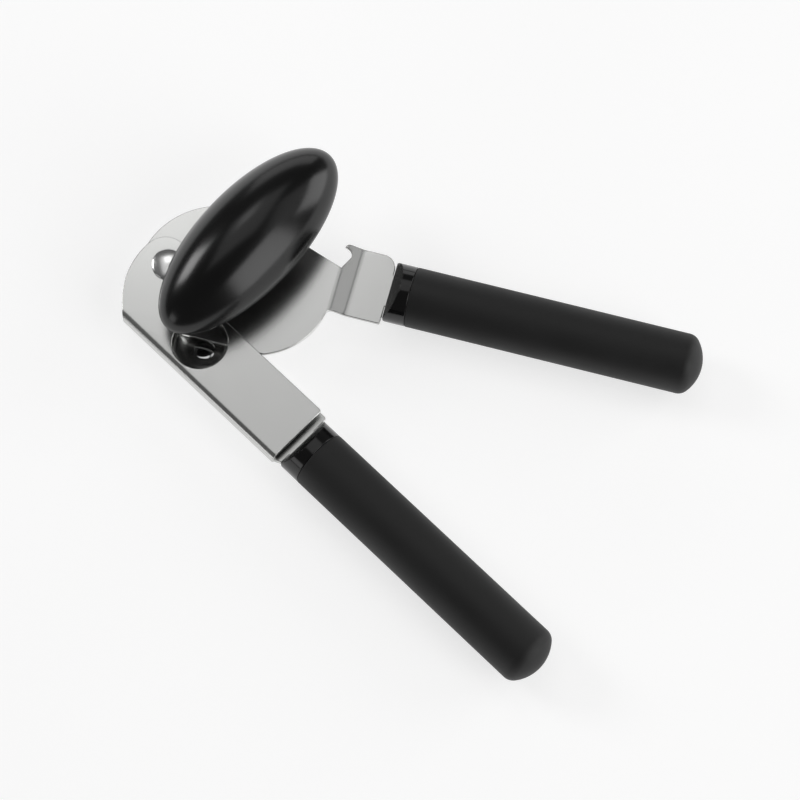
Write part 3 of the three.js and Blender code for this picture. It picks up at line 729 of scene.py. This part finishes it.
def handle_core():
    """The glossy core: a ferrule cut by two slanted faces, and the thinner body under the grip."""
    core_r = 8.6
    body_end = HANDLE_LENGTH - 8
    front = filleted([(0, 0), (HANDLE_R, 0), (HANDLE_R, FERRULE), (core_r, FERRULE)], 0.35, steps=4)
    bm = along_x(turned([tuple(p) for p in front] + [(core_r, body_end), (0, body_end)], LARGE_ROUND))
    bmesh.ops.recalc_face_normals(bm, faces=bm.faces)
    for sign in (1, -1):
        normal = Vector((-FACET_RISE, 0, sign)).normalized()
        geom = bm.verts[:] + bm.edges[:] + bm.faces[:]
        spot = (0, 0, sign * FACET_Z)
        cut = bmesh.ops.bisect_plane(
            bm, geom=geom, plane_co=spot, plane_no=normal, clear_outer=True, dist=1e-4)
        rim = [e for e in cut["geom_cut"] if isinstance(e, bmesh.types.BMEdge)]
        bmesh.ops.holes_fill(bm, edges=rim)
        rim = [e for e in rim if e.is_valid]
        bmesh.ops.bevel(
            bm, geom=rim, offset=0.35, segments=3, profile=0.5, affect="EDGES", clamp_overlap=True)
    return bm


def handle_grip():
    """The soft sleeve: a fine lip at the ferrule and a gently crowned, rounded end."""
    start = FERRULE + FIT
    bore_r = 8.8
    corner_r, cap_r = 4.5, 13.9
    corner_y = HANDLE_R - corner_r
    cap_x = HANDLE_LENGTH - cap_r
    corner_x = cap_x + math.sqrt((cap_r - corner_r) ** 2 - corner_y ** 2)
    cap_angle = math.atan2(corner_x - cap_x, corner_y)
    profile = [(bore_r, start + 0.6), (bore_r, start), (HANDLE_R - 0.3, start)]
    lip = curve((HANDLE_R - 0.3, start), (HANDLE_R, start), (HANDLE_R, start + 0.3), 4)
    profile += [tuple(p) for p in lip]
    profile += [(HANDLE_R, start + (corner_x - start) * i / 12) for i in range(1, 12)]
    steps = 14
    for i in range(steps + 1):
        a = i / steps * cap_angle
        profile.append((corner_y + corner_r * math.cos(a), corner_x + corner_r * math.sin(a)))
    for i in range(1, steps + 1):
        a = cap_angle + i / steps * (math.pi / 2 - cap_angle)
        profile.append((cap_r * math.cos(a), cap_x + cap_r * math.sin(a)))
    profile[-1] = (0, HANDLE_LENGTH)
    inner = [(0, HANDLE_LENGTH - 7), (bore_r, HANDLE_LENGTH - 7)]
    return along_x(turned(profile + inner + [(bore_r, start + 0.6)], LARGE_ROUND))


for prefix, place, end_x, axis_y in (
    ("lower", LOWER, LOWER_END_X, LOWER_AXIS_Y),
    ("upper", UPPER, UPPER_END_X, UPPER_AXIS_Y),
):
    at = place @ Matrix.Translation(Vector((end_x + SHOULDER_GAP, axis_y, 0)) * MM)
    body = prefix + "_arm"
    core_node = prefix + "_handle_core"
    grip_node = prefix + "_handle_grip"
    piece(prefix + "_handle_ferrule", handle_core(), at, body, "gloss_black", GLOSS, core_node)
    piece(prefix + "_handle_sleeve", handle_grip(), at, body, "soft_black", SOFT, grip_node)

# ---------------------------------------------------------------- drive: bush, shaft, feed wheel
SHAFT_R = 3.5
PLATE_LOW, PLATE_TOP = PLATE_Z - HALF, PLATE_Z + HALF
BUSH_FOOT = PLATE_LOW - FIT - 1.2
BUSH_TOP = PLATE_TOP + 1.5
HUB_Z0 = BUSH_TOP + 1.6
HUB_R = 7.6
REST_Z = -MID_Z / MM
FEED_Z0, FEED_Z1 = -6.2, -2.6
FEED_R, FEED_TOOTH, FEED_TEETH = 12.4, 1.1, 28
SQUARE = 4.8
SHAFT_TOP = KNOB_RIM_Z + 7
HUB_Z1 = SHAFT_TOP - 1.5


def shaft_bush():
    inner = SHAFT_R + FIT
    profile = filleted([
        (inner, BUSH_FOOT),
        (8.2, BUSH_FOOT),
        (8.2, PLATE_LOW - FIT),
        (BUSH_R, PLATE_LOW - FIT),
        (BUSH_R, PLATE_TOP + FIT),
        (BUSH_R + 1.5, PLATE_TOP + FIT),
        (BUSH_R + 1.5, PLATE_TOP + 0.8),
        (BUSH_R + 0.7, BUSH_TOP),
        (inner, BUSH_TOP),
    ], 0.2, closed=True, steps=3)
    return turned(profile, closed=True)


def feed_wheel():
    points = []
    pitch = 2 * math.pi / FEED_TEETH
    for i in range(FEED_TEETH):
        for angle, r in (((i - 0.5) * pitch, FEED_R - FEED_TOOTH), (i * pitch, FEED_R)):
            points.append((r * math.cos(angle), r * math.sin(angle)))
    outline = filleted(points, 0.18, closed=True, steps=3)
    half = (FEED_Z1 - FEED_Z0) / 2
    bm = sheet(outline, [circle((0, 0), SHAFT_R + FIT, 64)], half=half, edge=0.18, steps=3)
    bmesh.ops.translate(bm, verts=bm.verts, vec=(0, 0, (FEED_Z0 + FEED_Z1) / 2))
    return bm


def drive_shaft():
    """Round in the bush, riveted over the foot washer; the square end is its own body in the hub."""
    foot_top = FEED_Z0 - 1.2
    lower = filleted([
        (0, REST_Z),
        (4.2, REST_Z),
        (5.6, REST_Z + 0.8),
        (5.6, foot_top),
        (SHAFT_R, foot_top),
        (SHAFT_R, HUB_Z0 + 1),
        (0, HUB_Z0 + 1),
    ], 0.3)
    bm = turned([tuple(p) for p in lower])
    half = SQUARE / 2
    corners = [(-half, -half), (half, -half), (half, half), (-half, half)]
    square = filleted(corners, 0.3, closed=True, steps=3)
    base = add_loop(bm, square, HUB_Z0 + 0.9)
    top = add_loop(bm, square, SHAFT_TOP - 0.3)
    cap = add_loop(bm, inset(square, 0.3), SHAFT_TOP)
    join_loops(bm, base, top)
    join_loops(bm, top, cap)
    bm.faces.new(cap)
    bm.faces.new(list(reversed(base)))
    return bm


spacer = ring_profile(SHAFT_R + FIT, 6.4, FEED_Z1 + FIT, BUSH_FOOT - FIT, 0.25)
foot_washer = ring_profile(SHAFT_R + FIT, 7.2, FEED_Z0 - 1.1, FEED_Z0 - FIT, 0.25)
top_washer = ring_profile(SHAFT_R + FIT, 7.0, BUSH_TOP + FIT, HUB_Z0 - FIT, 0.2)
piece("shaft_bush_body", shaft_bush(), DRIVE, "upper_arm", "hardened_steel", HARDENED, "shaft_bush")
piece("feed_wheel_teeth", feed_wheel(), DRIVE, "drive", "hardened_steel", HARDENED, "feed_wheel")
spacer_ring = turned(spacer, closed=True)
foot_ring = turned(foot_washer, closed=True)
piece("feed_spacer_ring", spacer_ring, DRIVE, "drive", "hardened_steel", HARDENED, "feed_wheel_spacer")
piece("foot_washer_ring", foot_ring, DRIVE, "drive", "polished_steel", POLISHED, "shaft_foot_washer")
piece("top_washer_ring", turned(top_washer, closed=True), DRIVE, "drive", "nylon", NYLON, "shaft_top_washer")
piece("drive_shaft_body", drive_shaft(), KNOB, "drive", "polished_steel", POLISHED, "drive_shaft")

# ---------------------------------------------------------------- knob
KNOB_WALL = 2.4
FULLNESS = 1.85


def ellipse_points(half_length, half_width, count=192):
    angles = [2 * math.pi * i / count for i in range(count)]
    return [Vector((half_length * math.cos(a), half_width * math.sin(a))) for a in angles]


def ellipse_stack(levels):
    """A skin through levels of (half length, half width, z). A level of no size closes it to a point."""
    bm = bmesh.new()
    loops = []
    for half_length, half_width, z in levels:
        if half_length < 1e-6:
            loops.append([bm.verts.new((0, 0, z))])
        else:
            loops.append(add_loop(bm, ellipse_points(half_length, half_width), z))
    for low, high in zip(loops, loops[1:]):
        if len(low) > 1 and len(high) > 1:
            join_loops(bm, low, high)
            continue
        tip = low[0] if len(low) == 1 else high[0]
        rim = high if len(low) == 1 else low
        for a, b in zip(rim, rim[1:] + rim[:1]):
            bm.faces.new((a, b, tip))
    return bm


def dome_levels(half_length, half_width, height, z, steps):
    """Levels of the dome from its widest to just under its crown."""
    levels = []
    for i in range(steps):
        a = i / steps * math.pi / 2
        share = math.cos(a) ** (2 / FULLNESS)
        levels.append((half_length * share, half_width * share, z + height * math.sin(a) ** (2 / FULLNESS)))
    levels.append((0, 0, z + height))
    return levels


def knob_shell():
    levels = []
    inner_l, inner_w = KNOB_LENGTH - KNOB_WALL, KNOB_WIDTH - KNOB_WALL
    inside = dome_levels(inner_l, inner_w, KNOB_HEIGHT - KNOB_WALL, KNOB_RIM_Z, 20)
    levels += list(reversed(inside))
    lip = 0.4
    levels += [(inner_l, inner_w, KNOB_RIM_Z - lip * 0.6)]
    levels += [(inner_l + lip * 0.4, inner_w + lip * 0.4, KNOB_RIM_Z - lip)]
    for i in range(6):
        a = i / 5 * math.pi / 2
        share = 0.6 * (1 - math.sin(a))
        levels.append((KNOB_LENGTH - share, KNOB_WIDTH - share, KNOB_RIM_Z - lip * math.cos(a)))
    levels += dome_levels(KNOB_LENGTH, KNOB_WIDTH, KNOB_HEIGHT, KNOB_RIM_Z, 48)[1:]
    return ellipse_stack(levels)


def knob_base():
    """The cover in the knob's underside, with a rounded edge and the hole for the hub."""
    length, width = KNOB_LENGTH - KNOB_WALL - 0.3, KNOB_WIDTH - KNOB_WALL - 0.3
    outline = ellipse_points(length, width)
    base_half, base_drop = 0.9, 0.7
    bm = sheet(outline, [circle((0, 0), HUB_R + FIT, ROUND)], half=base_half, edge=0.4, steps=4)
    bmesh.ops.translate(bm, verts=bm.verts, vec=(0, 0, KNOB_RIM_Z - base_drop + base_half))
    return bm


def knob_hub():
    flare = KNOB_RIM_Z + 2.3
    bore = SHAFT_R + FIT
    profile = filleted([
        (bore, HUB_Z0),
        (HUB_R, HUB_Z0),
        (HUB_R, flare),
        (HUB_R + 3, flare),
        (HUB_R + 3, flare + 1.6),
        (HUB_R, flare + 1.6),
        (HUB_R, HUB_Z1),
        (bore, HUB_Z1),
    ], 0.5, closed=True, steps=4)
    return turned(profile, closed=True)


nut = ring_profile(SQUARE / math.sqrt(2) + FIT, 5, HUB_Z1 + FIT, HUB_Z1 + 1.1, 0.2)
piece("knob_dome", knob_shell(), KNOB, "drive", "satin_black", SATIN, "knob_shell")
piece("knob_underside", knob_base(), KNOB, "drive", "satin_black", SATIN, "knob_base")
piece("knob_boss", knob_hub(), KNOB, "drive", "satin_black", SATIN, "knob_hub")
piece("knob_nut_ring", turned(nut, 64, True), KNOB, "drive", "hardened_steel", HARDENED, "knob_push_nut")

# ---------------------------------------------------------------- floor, light and camera
scene = bpy.context.scene
scene.view_settings.view_transform = "Standard"


FLOOR_GLOW = 0.68  # emission strength, as on a light table


def floor():
    """A wide pale table top with a soft mottle and a faint glow, just under the opener's lowest point."""
    bm = bmesh.new()
    reach, below = 4.0, 0.0004
    corners = [(-reach, -reach), (reach, -reach), (reach, reach), (-reach, reach)]
    bm.faces.new([bm.verts.new((x, y, -below)) for x, y in corners])
    bmesh.ops.subdivide_edges(bm, edges=bm.edges[:], cuts=7, use_grid_fill=True)
    mesh = bpy.data.meshes.new("table_top")
    bm.to_mesh(mesh)
    bm.free()
    made = bpy.data.objects.new("table_top", mesh)
    scene.collection.objects.link(made)
    material = new_material("pale_table", (0.45, 0.45, 0.45), 0.0, 0.7)
    shader = material.node_tree.nodes["Principled BSDF"]
    shader.inputs["Emission Color"].default_value = (1, 1, 1, 1)
    shader.inputs["Emission Strength"].default_value = FLOOR_GLOW
    shader.inputs["Specular IOR Level"].default_value = 0.1
    mottle = grain(material, 3, 1.0, 2.0)
    tint(material, mottle, (0.44, 0.44, 0.44), (0.46, 0.46, 0.46))
    mesh.materials.append(material)


def world(strength_seen, strength_lit):
    """A plain pale surround. What the camera sees of it is lighter than what it adds to the light."""
    made = bpy.data.worlds.new("studio")
    scene.world = made
    made.use_nodes = True
    tree = made.node_tree
    background = tree.nodes["Background"]
    background.inputs["Color"].default_value = (1, 1, 1, 1)
    path = tree.nodes.new("ShaderNodeLightPath")
    spread = tree.nodes.new("ShaderNodeMapRange")
    spread.inputs["To Min"].default_value = strength_lit
    spread.inputs["To Max"].default_value = strength_seen
    tree.links.new(path.outputs["Is Camera Ray"], spread.inputs["Value"])
    tree.links.new(spread.outputs["Result"], background.inputs["Strength"])


def light_box(name, towards, distance, width, height, radiance):
    """A rectangular light in a direction, at a distance in metres. Brightness is in the glow's units."""
    light = bpy.data.lights.new(name, "AREA")
    light.shape = "RECTANGLE"
    light.size = width
    light.size_y = height
    light.energy = radiance * math.pi * width * height
    made = bpy.data.objects.new(name, light)
    direction = Vector(towards).normalized()
    made.location = direction * distance
    made.rotation_mode = "QUATERNION"
    made.rotation_quaternion = (-direction).to_track_quat("-Z", "Y")
    scene.collection.objects.link(made)


def sky(azimuth, elevation):
    """A direction, in degrees: azimuth from +X towards +Y, elevation above the table."""
    a, e = math.radians(azimuth), math.radians(elevation)
    return Vector((math.cos(e) * math.cos(a), math.cos(e) * math.sin(a), math.sin(e)))


floor()
world(0.92, 0.1)
light_box("high_box", sky(142, 70), 1.3, 0.95, 0.95, 0.6)
light_box("high_core", sky(153, 58), 1.25, 0.3, 0.3, 1.1)
light_box("upper_back", sky(62, 50), 1.5, 0.8, 0.6, 0.45)
light_box("left_box", sky(200, 32), 1.4, 0.46, 0.46, 6.5)
light_box("wide_side", sky(12, 28), 1.6, 1.0, 1.5, 2.4)
light_box("wide_back", sky(64, 18), 1.6, 1.0, 0.9, 2.4)
light_box("far_back", sky(135, 14), 1.8, 1.6, 0.6, 0.9)
light_box("low_front", sky(259, 12), 1.6, 0.6, 0.5, 1.2)

CAMERA_TARGET = LOWER @ (Vector((90.98, 21.43, 0)) * MM)
CAMERA_DISTANCE = 0.77545
CAMERA_AZIMUTH = math.radians(-43.04)
CAMERA_ELEVATION = math.radians(71.46)
CAMERA_ROLL = math.radians(-2.8)
LENS = 102.57


def camera():
    data = bpy.data.cameras.new("camera")
    data.lens = LENS
    data.sensor_width = 36
    data.clip_start = 0.01
    made = bpy.data.objects.new("camera", data)
    level = math.cos(CAMERA_ELEVATION)
    back = Vector((
        level * math.cos(CAMERA_AZIMUTH),
        level * math.sin(CAMERA_AZIMUTH),
        math.sin(CAMERA_ELEVATION),
    ))
    facing = (-back).to_track_quat("-Z", "Y")
    roll = Matrix.Rotation(CAMERA_ROLL, 3, "Z").to_quaternion()
    made.rotation_mode = "QUATERNION"
    made.rotation_quaternion = facing @ roll
    made.location = CAMERA_TARGET + back * CAMERA_DISTANCE
    scene.collection.objects.link(made)
    scene.camera = made


camera()
